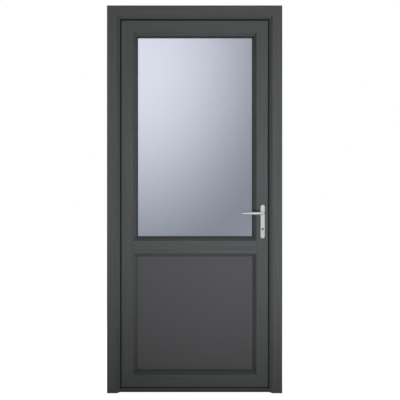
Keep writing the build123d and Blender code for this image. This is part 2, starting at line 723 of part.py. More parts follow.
def make_pieces():
    pieces = {}
    pieces["frame_hinge_jamb"] = make_jamb(HINGE_FIXING_DEPTH)
    pieces["frame_lock_jamb"] = mirrored(make_jamb(LOCK_FIXING_DEPTH))
    pieces["frame_head"] = make_head()
    pieces["threshold"] = make_threshold()
    pieces["frame_stop_seal"] = make_stop_seal()
    pieces["centre_keep"] = make_keep(KEEP_LENGTH, bolts()[:1])
    pieces["hook_keeps"] = Compound([make_keep(HOOK_KEEP_LENGTH, [bolt]) for bolt in bolts()[1:]])

    stile = make_stile()
    pieces["leaf_hinge_stile"] = stile
    pieces["leaf_lock_stile"] = make_lock_stile(stile)
    pieces["leaf_top_rail"] = make_top_rail()
    pieces["leaf_bottom_rail"] = make_bottom_rail()
    pieces["leaf_mid_rail"] = make_mid_rail([stile, mirrored(stile)])
    pieces["leaf_flange_seal"] = make_flange_seal()

    glass = glass_platform()
    panel = panel_platform()
    pieces["glass_outer_pane"] = infill(glass, INFILL_OUT, INFILL_OUT + PANE_THICKNESS)
    pieces["glass_inner_pane"] = infill(glass, INFILL_IN - PANE_THICKNESS, INFILL_IN)
    pieces["glass_spacer_bar"] = make_spacer()
    pieces["lower_panel"] = infill(panel, INFILL_OUT, INFILL_IN)
    pieces["glass_outside_gasket"] = make_gasket(glass, GLASS_GASKET_SHOW, NOSE_BACK)
    pieces["glass_inside_gasket"] = make_gasket(glass, INSIDE_GASKET_SHOW, INFILL_IN)
    pieces["panel_outside_gasket"] = make_gasket(panel, PANEL_GASKET_SHOW, NOSE_BACK)
    pieces["panel_inside_gasket"] = make_gasket(panel, INSIDE_GASKET_SHOW, INFILL_IN)
    for opening, platform in (("glass", glass), ("panel", panel)):
        for side, bead in make_beads(platform).items():
            pieces[f"{opening}_bead_{side}"] = bead

    for name, height in HINGE_HEIGHTS.items():
        pieces[f"hinge_frame_plate_{name}"] = make_frame_hinge(height)
        pieces[f"hinge_leaf_flag_{name}"] = make_leaf_hinge(height)
    pieces["hinge_pins"] = Compound([make_pin(height) for height in HINGE_HEIGHTS.values()])

    pieces["lock_faceplate"] = make_faceplate()
    pieces["latch_bolt"] = make_latch()
    pieces["hook_bolts"] = Compound([make_bolt(height, HOOK_SIZE) for height in HOOK_HEIGHTS])

    plate = make_backplate()
    lever = make_lever()
    pieces["outside_backplate"] = plate
    pieces["inside_backplate"] = inside_copy(plate)
    pieces["outside_lever"] = lever
    pieces["inside_lever"] = inside_copy(lever)
    pieces["spindle"] = make_spindle()
    pieces["key_cylinder"] = make_cylinder()
    return pieces


os.makedirs("parts", exist_ok=True)
for node, shape in make_pieces().items():
    export_step(shape, f"parts/{node}.step")
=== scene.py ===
import math

import bmesh
import bpy
from bpy.props import FloatProperty, FloatVectorProperty, IntProperty, PointerProperty
from mathutils import Matrix, Vector


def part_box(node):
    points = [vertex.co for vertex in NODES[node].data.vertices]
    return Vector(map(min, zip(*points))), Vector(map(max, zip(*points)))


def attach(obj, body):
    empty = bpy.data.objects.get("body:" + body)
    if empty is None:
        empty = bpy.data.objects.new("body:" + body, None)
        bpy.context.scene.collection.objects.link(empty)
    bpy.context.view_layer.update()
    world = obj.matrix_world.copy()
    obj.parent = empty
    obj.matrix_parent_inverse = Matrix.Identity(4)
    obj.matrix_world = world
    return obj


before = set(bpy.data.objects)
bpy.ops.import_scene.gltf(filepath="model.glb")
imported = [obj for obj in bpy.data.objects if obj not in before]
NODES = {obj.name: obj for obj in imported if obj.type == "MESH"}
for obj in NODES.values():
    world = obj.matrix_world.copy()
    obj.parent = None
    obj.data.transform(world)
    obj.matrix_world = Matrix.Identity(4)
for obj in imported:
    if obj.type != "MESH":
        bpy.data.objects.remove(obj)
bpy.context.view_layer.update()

bl_info = {
    "name": "Half-glazed door finishes",
    "version": (1, 0, 0),
    "blender": (4, 5, 0),
    "location": "View3D > Sidebar > Door",
    "description": "Gives a half-glazed plastic door its finishes and screws, and sets its picture",
    "category": "Object",
}

MM = 0.001
FRAME_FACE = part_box("frame_head")[0][1]
X_AXIS, Y_AXIS, Z_AXIS = range(3)
WHITE = (1.0, 1.0, 1.0, 1.0)
GLASS_IOR = 1.5

UPRIGHT_BARS = (
    "frame_hinge_jamb", "frame_lock_jamb", "leaf_hinge_stile", "leaf_lock_stile",
    "glass_bead_hinge_side", "glass_bead_lock_side", "panel_bead_hinge_side", "panel_bead_lock_side",
)
LEVEL_BARS = (
    "frame_head", "leaf_top_rail", "leaf_mid_rail", "leaf_bottom_rail",
    "glass_bead_top", "glass_bead_bottom", "panel_bead_top", "panel_bead_bottom",
)
SEALS = (
    "frame_stop_seal", "leaf_flange_seal", "glass_outside_gasket", "glass_inside_gasket",
    "panel_outside_gasket", "panel_inside_gasket",
)
HINGES = ("bottom", "middle", "top")
LOCK_STEEL = ("lock_faceplate", "latch_bolt", "hook_bolts", "centre_keep", "hook_keeps", "spindle")
HANDLE_METAL = ("outside_backplate", "inside_backplate", "outside_lever", "inside_lever")

# Where the screws sit: shares of a plate's height, and distances from an edge in head radii
FACEPLATE_SCREWS = (0.02, 0.24, 0.36, 0.56, 0.76, 0.98)
KEEP_SCREWS = {"centre_keep": (0.12, 0.88), "hook_keeps": (0.012, 0.078, 0.922, 0.988)}
HINGE_INSET = 3.2
FLAG_SECOND_COLUMN = 9.28
PLATE_COLUMN = 1.75
HANDLE_INSET = 3.4

# Light behind the glass: at its middle, and how it changes per metre and per square metre
GLOW_MIDDLE = 0.74
GLOW_UP = 0.64
GLOW_LEFT = 0.89
GLOW_TWIST = 0.16
GLOW_SIDE_LOSS = 1.3
GLOW_END_LOSS = 0.76


def size(name, text, default):
    """A length that a user may set."""
    return FloatProperty(name=name, description=text, default=default, subtype="DISTANCE", unit="LENGTH")


def share(name, text, default):
    """A share between nothing and all."""
    return FloatProperty(name=name, description=text, default=default, min=0.0, max=1.0, subtype="FACTOR")


def angle(name, text, default):
    """An angle that a user may set."""
    return FloatProperty(name=name, description=text, default=default, subtype="ANGLE", unit="ROTATION")


def power(name, text, default):
    """The power of a lamp."""
    return FloatProperty(name=name, description=text, default=default, min=0.0, unit="POWER")


def point(name, text, default):
    """A place that a user may set."""
    return FloatVectorProperty(name=name, description=text, default=default,
                               subtype="TRANSLATION", unit="LENGTH")


def colour(name, text, default):
    """A colour in linear values."""
    return FloatVectorProperty(name=name, description=text, default=default,
                               min=0.0, max=1.0, subtype="COLOR")


class DoorFoilSettings(bpy.types.PropertyGroup):
    """Grained foil on the bars and the skin of the lower panel"""
    tone: colour("Foil", "Colour of the foil on the bars", (0.059, 0.0635, 0.064))
    panel_tone: colour("Panel", "Colour of the lower panel", (0.056, 0.057, 0.060))
    contrast: share("Contrast", "How much the grain streaks differ in tone", 0.2)
    streak_width: size("Streak width", "Width of a broad streak of the grain", 7 * MM)
    streak_length: size("Streak length", "Length of a broad streak of the grain", 500 * MM)
    fibre_width: size("Fibre width", "Width of a fine fibre of the grain", 0.9 * MM)
    fibre_length: size("Fibre length", "Length of a fine fibre of the grain", 30 * MM)
    pore_width: size("Pore width", "Width of a pore in the grain", 1.44 * MM)
    pore_length: size("Pore length", "Length of a pore in the grain", 21 * MM)
    emboss: size("Emboss", "Depth of the embossed grain", 0.12 * MM)
    roughness: share("Roughness", "Roughness of the foil", 0.42)
    panel_roughness: share("Panel roughness", "Roughness of the lower panel", 0.4)
    edge: size("Edge", "Radius that softens the edges of the bars", 1.2 * MM)


class DoorGlassSettings(bpy.types.PropertyGroup):
    """Obscure outer pane, clear inner pane and the spacer between them"""
    tint: colour("Obscure tint", "Colour of the obscure pane", (0.86, 0.885, 0.95))
    clear_tint: colour("Clear tint", "Colour of the clear pane", (0.94, 0.97, 0.96))
    frost: share("Frost", "Roughness of the obscure pane", 0.3)
    clear_roughness: share("Clear roughness", "Roughness of the clear pane", 0.02)
    clearness: share("Clearness", "Light that passes the obscure pane, the rest is haze", 0.98)
    stipple: size("Stipple", "Size of the fine stipple on the obscure pane", 2.2 * MM)
    spacer_tone: colour("Spacer", "Colour of the spacer bar", (0.30, 0.31, 0.32))
    spacer_roughness: share("Spacer roughness", "Roughness of the spacer bar", 0.4)


class DoorMetalSettings(bpy.types.PropertyGroup):
    """Handles, lock, hinges and threshold"""
    handle_tone: colour("Handle", "Satin silver of the handles", (0.79, 0.835, 0.835))
    handle_roughness: share("Handle roughness", "Roughness of the handles", 0.34)
    cylinder_tone: colour("Cylinder", "Satin nickel of the key cylinder", (0.79, 0.83, 0.825))
    cylinder_roughness: share("Cylinder roughness", "Roughness of the key cylinder", 0.3)
    # Keyhole radius and depth set where the keyholes get painted shade
    keyhole_shade_radius: size("Keyhole radius", "Radius of the dark rim round a keyhole", 4.7 * MM)
    keyhole_shade_depth: size("Keyhole depth", "Depth at which a keyhole is wholly dark", 1.5 * MM)
    zinc_tone: colour("Zinc", "Bright zinc of the lock steel", (0.58, 0.59, 0.60))
    zinc_roughness: share("Zinc roughness", "Roughness of the zinc plate", 0.38)
    coat_tone: colour("Coat", "Powder coat of the hinges", (0.055, 0.058, 0.060))
    coat_roughness: share("Coat roughness", "Roughness of the powder coat", 0.5)
    threshold_tone: colour("Threshold", "Powder coat of the threshold", (0.040, 0.041, 0.042))
    # The tread colour and its drop set painted light on the top of the threshold
    painted_tread_light: colour("Tread", "Worn coat on the tread of the threshold", (0.100, 0.102, 0.104))
    painted_band_drop: size("Tread drop", "How far the worn coat reaches down from the tread", 3.2 * MM)
    brush_width: size("Brush width", "Width of the satin brush lines", 0.25 * MM)
    brush_length: size("Brush length", "Length of the satin brush lines", 12.5 * MM)


class DoorSealSettings(bpy.types.PropertyGroup):
    """Black rubber of the seals and gaskets"""
    tone: colour("Rubber", "Colour of the rubber", (0.006, 0.006, 0.0065))
    roughness: share("Roughness", "Roughness of the rubber", 0.62)


class DoorScrewSettings(bpy.types.PropertyGroup):
    """Screws of the hinges, the lock, the inside handle and the threshold"""
    hinge_head: size("Hinge screw", "Head radius of a hinge screw", 3.8 * MM)
    lock_head: size("Lock screw", "Head radius of a lock or threshold screw", 3.4 * MM)
    handle_head: size("Handle screw", "Head radius of a handle screw", 3.9 * MM)
    hinge_plate: size("Hinge plate", "Thickness of the hinge plate on the frame", 3.5 * MM)
    head_height: size("Head height", "How far a head stands out", 0.8 * MM)
    recess: size("Recess", "Depth of the cross recess", 1.6 * MM)
    arm_width: share("Arm width", "Half the width of an arm of the recess, in head radii", 0.14)
    arm_reach: share("Arm reach", "How far an arm of the recess reaches out, in head radii", 0.52)
    threshold_screws: IntProperty(name="Threshold screws", description="Screws along the tread",
                                  default=4, min=2)


class DoorStageSettings(bpy.types.PropertyGroup):
    """Camera, lamps and backdrop of the picture. Places of lamps count from the face of the frame"""
    camera_distance: size("Distance", "Camera in front of the face of the frame", 2.5)
    camera_right: size("Right", "Camera to the right of the middle of the door", 0.095)
    camera_height: size("Height", "Camera above the ground", 1.0412)
    picture_width: size("Picture width", "Width of the picture at the face of the frame", 2.1545)
    picture_right: size("Picture right", "Middle of the picture, right of the middle of the door", 0.029)
    front_place: point("Front lamp", "Place of the lamp in front", (1.0, -2.99, 0.4))
    front_target: point("Front target", "Middle of the front lamp's pool of light", (0.243, 0.0, 1.226))
    front_power: power("Front power", "Power of the lamp in front", 424.0)
    front_angle: angle("Front angle", "Angle of the front lamp's pool of light", 0.984)
    back_place: point("Back lamp", "Place of the lamp behind", (-1.0, 2.6, 1.6))
    back_target: point("Back target", "Middle of the back lamp's pool of light", (0.0, 0.0, 1.1))
    back_power: power("Back power", "Power of the lamp behind", 275.0)
    back_angle: angle("Back angle", "Angle of the back lamp's pool of light", 1.75)
    lamp_radius: size("Lamp radius", "Radius of a lamp, which softens its shadows", 0.35)
    room_light: share("Room", "Strength of the light from all round", 0.22)
    screen_light: share("Screen", "Strength of the white screen that shines back from smooth faces", 0.9)
    floor_size: size("Floor size", "Half the width of the floor", 12.0)
    floor_tone: colour("Floor", "Colour of the floor under the lamps", (0.35, 0.35, 0.35))
    floor_glow: share("Floor glow", "White that the floor adds for the eye", 0.96)
    floor_shine: share("Floor shine", "Share of the floor's glow that smooth faces mirror", 0.45)
    glow_low: colour("Dim glass", "Light behind the glass where it is dimmest", (0.215, 0.243, 0.283))
    glow_high: colour("Bright glass", "Light behind the glass where it is brightest", (0.852, 0.853, 0.907))
    gasket_shade: colour("Gasket shade", "Dark behind the gasket of the glass", (0.012, 0.012, 0.013))
    sight_line: size("Sight line", "From the edge of the glass in to the edge of its gasket", 21 * MM)
    sight_blur: size("Sight blur", "Half the width over which the dark behind the gasket fades", 0.6 * MM)


class Wire:
    """A socket of a node tree. Python's operators on it add Math nodes."""

    def __init__(self, tree, socket):
        self.tree = tree
        self.socket = socket

    def maths(self, operation, first, second):
        return self.tree.add("ShaderNodeMath", {"operation": operation}, {0: first, 1: second})

    def __add__(self, other):
        return self.maths("ADD", self, other)

    def __radd__(self, other):
        return self.maths("ADD", other, self)

    def __sub__(self, other):
        return self.maths("SUBTRACT", self, other)

    def __rsub__(self, other):
        return self.maths("SUBTRACT", other, self)

    def __mul__(self, other):
        return self.maths("MULTIPLY", self, other)

    def __rmul__(self, other):
        return self.maths("MULTIPLY", other, self)


class Tree:
    """A node tree that is filled from Python."""

    def __init__(self, owner):
        owner.use_nodes = True
        self.owner = owner
        self.nodes = owner.node_tree.nodes
        self.links = owner.node_tree.links
        self.nodes.clear()

    def add(self, kind, settings, inputs, output=0):
        """Adds a node, sets it up, fills or links its sockets and gives one of its outputs."""
        node = self.nodes.new(kind)
        for name, value in settings.items():
            setattr(node, name, value)
        for name, value in inputs.items():
            if isinstance(value, Wire):
                self.links.new(value.socket, node.inputs[name])
            else:
                node.inputs[name].default_value = value
        return Wire(self, node.outputs[output])

    def here(self, axis):
        """Object coordinate along X, Y or Z."""
        place = self.add("ShaderNodeTexCoord", {}, {}, "Object")
        return self.add("ShaderNodeSeparateXYZ", {}, {"Vector": place}, axis)

    def place(self, scale):
        """Object coordinates, times a scale along each axis."""
        here = self.add("ShaderNodeTexCoord", {}, {}, "Object")
        return self.add("ShaderNodeMapping", {"vector_type": "POINT"}, {"Vector": here, "Scale": scale})

    def noise(self, scale, detail, roughness=0.5):
        """Noise with as many waves to the metre along each axis as its scale says."""
        inputs = {"Vector": self.place(scale), "Scale": 1.0, "Detail": detail, "Roughness": roughness}
        return self.add("ShaderNodeTexNoise", {}, inputs)

    def ramp(self, value, low, high):
        """A value spread from nothing at low to all at high."""
        inputs = {"Value": value, "From Min": low, "From Max": high, "To Min": 0.0, "To Max": 1.0}
        return self.add("ShaderNodeMapRange", {"clamp": True, "interpolation_type": "SMOOTHSTEP"}, inputs)

    def beyond(self, square, low, high):
        """Nothing up to a distance low and all from high on, for the square of a distance."""
        return self.ramp(square, low ** 2, high ** 2)

    def blend(self, factor, first, second):
        """A colour between two colours."""
        return self.add("ShaderNodeMix", {"data_type": "RGBA"}, {0: factor, 6: first, 7: second}, 2)

    def shades(self, factor, tone, dark, light):
        """A tone between a darker and a lighter shade of itself."""
        return self.blend(factor, rgba(tone, dark), rgba(tone, light))

    def bump(self, height, depth, strength=1.0, edge=0.0):
        """A surface normal from a height, with the edges rounded by a radius."""
        inputs = {"Height": height, "Distance": depth, "Strength": strength}
        if edge:
            inputs["Normal"] = self.add("ShaderNodeBevel", {"samples": 4}, {"Radius": edge})
        return self.add("ShaderNodeBump", {}, inputs)

    def either(self, factor, first, second):
        """A shader between two shaders."""
        return self.add("ShaderNodeMixShader", {}, {0: factor, 1: first, 2: second})

    def ray(self, *kinds):
        """1 for rays of some kinds, such as Camera or Glossy."""
        return sum(self.add("ShaderNodeLightPath", {}, {}, f"Is {kind} Ray") for kind in kinds)

    def surface(self, shader):
        """Links a shader to the output."""
        world = isinstance(self.owner, bpy.types.World)
        output = self.nodes.new("ShaderNodeOutputWorld" if world else "ShaderNodeOutputMaterial")
        self.links.new(shader.socket, output.inputs["Surface"])


def rgba(tone, factor=1.0):
    """A colour for a socket, made lighter or darker."""
    return (tone[0] * factor, tone[1] * factor, tone[2] * factor, 1.0)


def even(waves):
    """Scale of a noise with as many waves to the metre along every axis."""
    return [waves] * 3


def drawn_out(width, length, along):
    """Scale of a noise whose marks have a width, and a length along one axis."""
    scale = even(1.0 / width)
    scale[along] = 1.0 / length
    return scale


def vary(value, noise, span):
    """A value that a noise moves by up to half a span either way."""
    return value + (noise - 0.5) * span


def mixed(first, second, part):
    """A part of one noise with the rest of another."""
    return first * part + second * (1.0 - part)


def corners(node):
    """Lowest and highest corner of a node."""
    return [Vector(corner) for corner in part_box(node)]


def new_finish(name):
    """An empty material."""
    return Tree(bpy.data.materials.new(name))


def complete(tree, sockets):
    """Ends a finish with its shader, from values and wires by socket name."""
    tree.surface(tree.add("ShaderNodeBsdfPrincipled", {}, sockets))
    return tree.owner


def dress(names, finish):
    """Puts a finish on every slot of some nodes."""
    for name in names:
        for slot in NODES[name].material_slots:
            slot.material = finish


def new_object(name, mesh, finish):
    """An object at the origin with one finish, from a bmesh, which is used up."""
    data = bpy.data.meshes.new(name)
    mesh.to_mesh(data)
    mesh.free()
    data.materials.append(finish)
    made = bpy.data.objects.new(name, data)
    bpy.context.collection.objects.link(made)
    return made


# Finishes

def foil_finish(name, settings, along):
    """Embossed grain that runs along a bar."""
    tree = new_finish(name)
    streak_scale = drawn_out(settings.streak_width, settings.streak_length, along)
    fibre_scale = drawn_out(settings.fibre_width, settings.fibre_length, along)
    pore_scale = drawn_out(settings.pore_width, settings.pore_length, along)
    streaks = tree.noise(streak_scale, detail=4.0, roughness=0.6)
    fibres = tree.noise(fibre_scale, detail=3.0, roughness=0.6)
    pores = tree.ramp(tree.noise(pore_scale, detail=1.0), low=0.56, high=0.72)
    pore_tone = rgba(settings.tone, factor=0.55)
    pore_cover, pore_depth, pore_roughness = 0.35, 0.8, 0.12
    grain = tree.ramp(mixed(streaks, fibres, part=0.7), low=0.3, high=0.7)
    tone = tree.shades(grain, settings.tone, 1.0 - settings.contrast, 1.0 + settings.contrast)
    relief = mixed(fibres, streaks, part=0.6) - pores * pore_depth
    return complete(tree, {
        "Base Color": tree.blend(pores * pore_cover, tone, pore_tone),
        "Roughness": vary(settings.roughness, fibres, span=0.16) + pores * pore_roughness,
        "Specular IOR Level": 0.5,
        "Normal": tree.bump(relief, settings.emboss, edge=settings.edge),
    })


def panel_finish(settings):
    """Smooth satin skin with a faint orange peel."""
    tree = new_finish("panel_skin")
    peel = tree.noise(even(260.0), detail=2.0)
    cloud = tree.noise(even(3.0), detail=3.0)
    return complete(tree, {
        "Base Color": tree.shades(cloud, settings.panel_tone, dark=0.96, light=1.04),
        "Roughness": vary(settings.panel_roughness, peel, span=0.08),
        "Specular IOR Level": 0.6,
        "Normal": tree.bump(peel, depth=0.05 * MM),
    })


def rubber_finish(settings):
    """Matt rubber with a dusty bloom."""
    tree = new_finish("seal_rubber")
    bloom = tree.noise([120.0, 120.0, 30.0], detail=4.0)
    dust = tree.ramp(bloom, low=0.4, high=0.75)
    return complete(tree, {
        "Base Color": tree.shades(dust, settings.tone, dark=1.0, light=1.9),
        "Roughness": vary(settings.roughness, bloom, span=0.2),
        "Specular IOR Level": 0.3,
        "Normal": tree.bump(bloom, depth=0.08 * MM),
    })


def obscure_glass_finish(settings):
    """Frosted pane with a fine stipple."""
    tree = new_finish("obscure_glass")
    stipple = tree.noise(even(1.0 / settings.stipple), detail=2.0)
    cloud = tree.noise(even(2.5), detail=2.0)
    return complete(tree, {
        "Base Color": tree.shades(cloud, settings.tint, dark=0.985, light=1.0),
        "Roughness": vary(settings.frost, stipple, span=0.1),
        "IOR": GLASS_IOR,
        "Transmission Weight": settings.clearness,
        "Normal": tree.bump(stipple, depth=0.05 * MM, strength=0.4),
    })


def clear_glass_finish(settings):
    """Clear float glass with a thin film of dust."""
    tree = new_finish("clear_glass")
    film = tree.noise([6.0, 6.0, 4.0], detail=4.0)
    return complete(tree, {
        "Base Color": tree.shades(film, settings.clear_tint, dark=0.99, light=1.0),
        "Roughness": vary(settings.clear_roughness, film, span=0.02),
        "IOR": GLASS_IOR,
        "Transmission Weight": 1.0,
    })


def satin_metal_finish(name, tone, roughness, brush_scale):
    """Brushed satin metal."""
    tree = new_finish(name)
    lines = tree.noise(brush_scale, detail=2.0)
    cloud = tree.noise(even(35.0), detail=3.0)
    return complete(tree, {
        "Base Color": tree.shades(mixed(lines, cloud, part=0.6), tone, dark=0.94, light=1.05),
        "Metallic": 1.0,
        "Roughness": vary(vary(roughness, lines, span=0.1), cloud, span=0.05),
        "Normal": tree.bump(lines, depth=0.01 * MM, strength=0.5),
    })


def cylinder_finish(settings, brush_scale):
    """Satin nickel, with painted shade inside the keyholes and on their rims."""
    tree = new_finish("cylinder_metal")
    low, high = corners("key_cylinder")
    middle = (low + high) / 2
    barrel = (high.x - low.x) / 2
    half = high.y - middle.y
    along = tree.here("Y") - middle.y
    side = tree.here("X") - middle.x
    rise = tree.here("Z") - (high.z - barrel)
    depth, radius, blur = settings.keyhole_shade_depth, settings.keyhole_shade_radius, 0.3 * MM
    # Painted shade in the keyholes: near black deeper than the keyhole depth and within the rim radius
    # round each keyhole
    end = tree.beyond(along * along, half - depth, half - depth / 2)
    clear = tree.beyond(side * side + rise * rise, radius, radius + blur)
    lines = tree.noise(brush_scale, detail=2.0)
    metal = tree.shades(lines, settings.cylinder_tone, dark=0.95, light=1.05)
    painted_keyhole_shade = (0.004, 0.004, 0.004, 1.0)
    return complete(tree, {
        "Base Color": tree.blend(end * clear, painted_keyhole_shade, metal),
        "Metallic": 1.0,
        "Roughness": vary(settings.cylinder_roughness, lines, span=0.1),
    })


def zinc_finish(settings):
    """Bright zinc plate with faint spangle and stains."""
    tree = new_finish("bright_zinc")
    cells = {"Vector": tree.place(even(160.0)), "Scale": 1.0}
    spangle = tree.add("ShaderNodeTexVoronoi", {"feature": "F1"}, cells)
    stain = tree.noise(even(25.0), detail=5.0)
    cloud = mixed(spangle, stain, part=0.5)
    return complete(tree, {
        "Base Color": tree.shades(cloud, settings.zinc_tone, dark=0.86, light=1.06),
        "Metallic": 1.0,
        "Roughness": vary(settings.zinc_roughness, stain, span=0.16),
        "Normal": tree.bump(stain, depth=0.03 * MM),
    })


def powder_coat(tree, tone, roughness):
    """Sockets of a powder coat with a fine pebble."""
    pebble = tree.noise(even(900.0), detail=2.0)
    cloud = tree.noise(even(14.0), detail=4.0)
    return {
        "Base Color": tree.shades(cloud, tone, dark=0.9, light=1.1),
        "Roughness": vary(roughness, pebble, span=0.2),
        "Specular IOR Level": 0.4,
        "Normal": tree.bump(pebble, depth=0.06 * MM),
    }


def hinge_finish(settings):
    """Powder coat of the hinges."""
    tree = new_finish("hinge_coat")
    return complete(tree, powder_coat(tree, settings.coat_tone, settings.coat_roughness))


def threshold_finish(settings):
    """Powder coat of the threshold, with painted light in a paler grey on the tread."""
    tree = new_finish("threshold_coat")
    sockets = powder_coat(tree, settings.threshold_tone, settings.coat_roughness)
    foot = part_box("threshold")[1][2] - settings.painted_band_drop
    blur = 0.6 * MM
    # Painted light: the top of the threshold is paler, which lightens the shade of the gap under the leaf
    painted_light_band = tree.ramp(tree.here("Z"), foot, foot + blur)
    sockets["Base Color"] = tree.blend(painted_light_band, sockets["Base Color"], rgba(settings.painted_tread_light))
    return complete(tree, sockets)


# Screws, each left at a turn of its own, which is taken from its place

def facing(place, out, turn):
    """A matrix that puts a screw at a place, with its local +Z along out and a turn about it."""
    way = Vector(out).to_track_quat("Z", "Y").to_matrix().to_4x4()
    return Matrix.Translation(place) @ way @ Matrix.Rotation(turn, 4, "Z")


def screw_head(mesh, matrix, radius, settings):
    """A domed screw head with a cross recess. The recess is cut from the middle of a grid of 25 faces."""
    cells = 5
    made = bmesh.ops.create_grid(mesh, x_segments=cells, y_segments=cells, size=1.0)["verts"]
    arm = settings.arm_width * radius
    reach = settings.arm_reach * radius
    line_places = {1: arm, 3: reach}
    rim = []
    for vert in made:
        lines = [round(abs(c) * cells) for c in vert.co.xy]
        if max(lines) == cells:
            rim.append(vert)
            vert.co = vert.co.normalized() * radius
        else:
            vert.co.x = math.copysign(line_places[lines[0]], vert.co.x)
            vert.co.y = math.copysign(line_places[lines[1]], vert.co.y)
            vert.co.z = settings.head_height
    cross = []
    for face in {face for vert in made for face in vert.link_faces}:
        middle = face.calc_center_median().xy
        if middle.length < reach and min(abs(c) for c in middle) < arm:
            cross.append(face)
    sunk = bmesh.ops.extrude_face_region(mesh, geom=cross)["geom"]
    floor = [g for g in sunk if isinstance(g, bmesh.types.BMVert)]
    bmesh.ops.translate(mesh, verts=floor, vec=(0, 0, -settings.recess))
    edge = {e for vert in rim for e in vert.link_edges if e.is_boundary}
    skirt = bmesh.ops.extrude_edge_only(mesh, edges=list(edge))["geom"]
    foot = [g for g in skirt if isinstance(g, bmesh.types.BMVert)]
    bmesh.ops.translate(mesh, verts=foot, vec=(0, 0, -settings.recess - settings.head_height))
    loop = [g for g in skirt if isinstance(g, bmesh.types.BMEdge) and g.is_boundary]
    bmesh.ops.contextual_create(mesh, geom=loop)
    bmesh.ops.transform(mesh, matrix=matrix, verts=list({*made, *floor, *foot}))


def add_screws(name, body, finish, places, radius, settings):
    """One object with some screw heads, which moves with a body."""
    mesh = bmesh.new()
    for matrix in places:
        screw_head(mesh, matrix, radius, settings)
    bmesh.ops.recalc_face_normals(mesh, faces=mesh.faces)
    piece = new_object(name, mesh, finish)
    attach(piece, body)


# Stage

def add_floor(settings):
    """Pale floor that keeps the shadow of the door."""
    tree = new_finish("floor_paper")
    paper = tree.add("ShaderNodeBsdfDiffuse", {}, {"Color": rgba(settings.floor_tone)})
    glow = tree.add("ShaderNodeEmission", {}, {"Color": WHITE, "Strength": settings.floor_glow})
    lit_paper = tree.add("ShaderNodeAddShader", {}, {0: paper, 1: glow})
    shown = tree.ray("Camera", "Transmission") + tree.ray("Glossy") * settings.floor_shine
    tree.surface(tree.either(shown, paper, lit_paper))
    mesh = bmesh.new()
    bmesh.ops.create_grid(mesh, x_segments=1, y_segments=1, size=settings.floor_size)
    floor = new_object("floor", mesh, tree.owner)


def glow_finish(settings, middle, half):
    """Light from a room, brightest at the upper left, and dark behind the gasket. Clear from inside."""
    tree = new_finish("room_light_behind")
    x = tree.here("X")
    rise = tree.here("Z") - middle.z
    glow = GLOW_MIDDLE + rise * GLOW_UP - x * GLOW_LEFT + x * rise * GLOW_TWIST
    glow = glow - x * x * GLOW_SIDE_LOSS - rise * rise * GLOW_END_LOSS
    tone = tree.blend(glow * glow, rgba(settings.glow_low), rgba(settings.glow_high))
    blur = settings.sight_blur
    edge_x = half.x - settings.sight_line
    edge_z = half.z - settings.sight_line
    beside = tree.beyond(x * x, edge_x - blur, edge_x + blur)
    above = tree.beyond(rise * rise, edge_z - blur, edge_z + blur)
    tone = tree.blend((1 - beside) * (1 - above), rgba(settings.gasket_shade), tone)
    light = tree.add("ShaderNodeEmission", {}, {"Color": tone, "Strength": 1.0})
    clear = tree.add("ShaderNodeBsdfTransparent", {}, {})
    inside = tree.add("ShaderNodeNewGeometry", {}, {}, "Backfacing")
    tree.surface(tree.either(inside, light, clear))
    return tree.owner


def add_glow(settings):
    """Card between the panes that shows a softly lit room through the obscure pane, from outside only."""
    low, high = corners("glass_outer_pane")
    middle, half = (low + high) / 2, (high - low) / 2
    depth = (high.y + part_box("glass_inner_pane")[0][1]) / 2
    upright = Matrix.Translation((0, depth, middle.z)) @ Matrix.Rotation(math.pi / 2, 4, "X")
    mesh = bmesh.new()
    made = bmesh.ops.create_grid(mesh, x_segments=1, y_segments=1, size=1.0)["verts"]
    bmesh.ops.transform(mesh, matrix=upright @ Matrix.Diagonal((half.x, half.z, 1.0, 1.0)), verts=made)
    card = new_object("room_behind", mesh, glow_finish(settings, middle, half))
    card.visible_camera = False
    card.visible_diffuse = False
    card.visible_glossy = False
    card.visible_shadow = False


def add_room(scene, settings):
    """White backdrop for the eye, a grey room that lights the door, and a white screen in front of it."""
    world = bpy.data.worlds.new("studio")
    scene.world = world
    tree = Tree(world)

    def light(strength):
        return tree.add("ShaderNodeBackground", {}, {"Color": WHITE, "Strength": strength})

    way = tree.add("ShaderNodeTexCoord", {}, {}, "Generated")
    inwards = tree.add("ShaderNodeSeparateXYZ", {}, {"Vector": way}, "Y")
    backdrop = light(1.0)
    past_screen = tree.ramp(inwards, low=-0.9, high=-0.5)
    past_door = tree.ramp(inwards, low=-0.1, high=0.2)
    front = tree.either(past_screen, light(settings.screen_light), light(settings.room_light))
    mirrored = tree.either(past_door, front, backdrop)
    all_round = tree.either(tree.ray("Glossy", "Transmission"), light(settings.room_light), mirrored)
    tree.surface(tree.either(tree.ray("Camera"), all_round, backdrop))


def add_lamp(name, place, target, energy, spread, radius):
    """A soft lamp with a round pool of light on the door. Place and target count from the frame's face."""
    data = bpy.data.lights.new(name, "SPOT")
    data.energy = energy
    data.spot_size = spread
    data.spot_blend = 1.0
    data.shadow_soft_size = radius
    lamp = bpy.data.objects.new(name, data)
    lamp.location = Vector(place) + Vector((0, FRAME_FACE, 0))
    lamp.rotation_euler = (Vector(target) - Vector(place)).to_track_quat("-Z", "Y").to_euler()
    lamp.visible_camera = False
    lamp.visible_glossy = False
    lamp.visible_transmission = False
    bpy.context.collection.objects.link(lamp)


def add_camera(scene, settings):
    """Camera square to the door, shifted sideways to frame it."""
    data = bpy.data.cameras.new("camera")
    data.lens = data.sensor_width * settings.camera_distance / settings.picture_width
    data.shift_x = (settings.picture_right - settings.camera_right) / settings.picture_width
    camera = bpy.data.objects.new("camera", data)
    camera.location = (settings.camera_right, FRAME_FACE - settings.camera_distance, settings.camera_height)
    camera.rotation_euler = (math.pi / 2, 0, 0)
    bpy.context.collection.objects.link(camera)
    scene.camera = camera


# Operators

